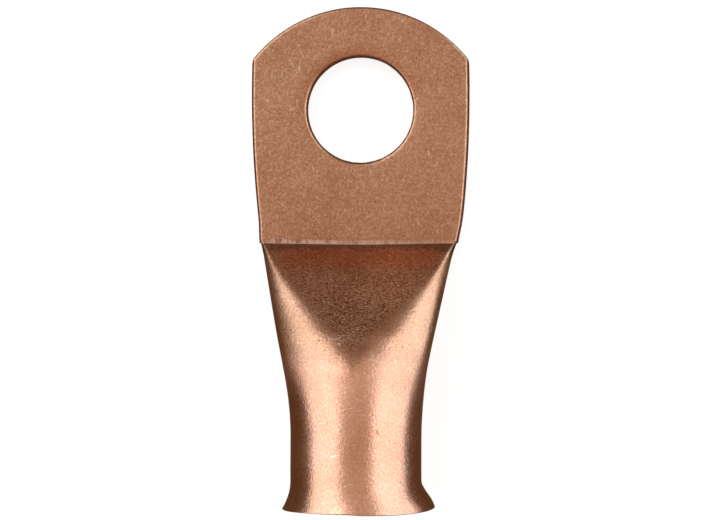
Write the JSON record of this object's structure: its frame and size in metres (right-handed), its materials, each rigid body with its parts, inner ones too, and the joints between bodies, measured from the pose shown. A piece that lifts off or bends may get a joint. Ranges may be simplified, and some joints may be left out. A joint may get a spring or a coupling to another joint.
{
  "type": "copper cable lug",
  "caption": "Tubular copper cable lug with a flared round barrel for stranded cable and a flat palm with one round stud hole.",
  "frame": {"origin": "centre of the stud hole on the palm's underside", "axes": "+Z out of the palm's upper face along the stud hole, +Y towards the palm's sheared end, the barrel and its mouth towards -Y"},
  "size_m": [0.0216, 0.049, 0.0135],
  "materials": {
    "copper": "satin"
  },
  "bodies": {
    "root": {"lug": "copper"}
  },
  "joints": []
}
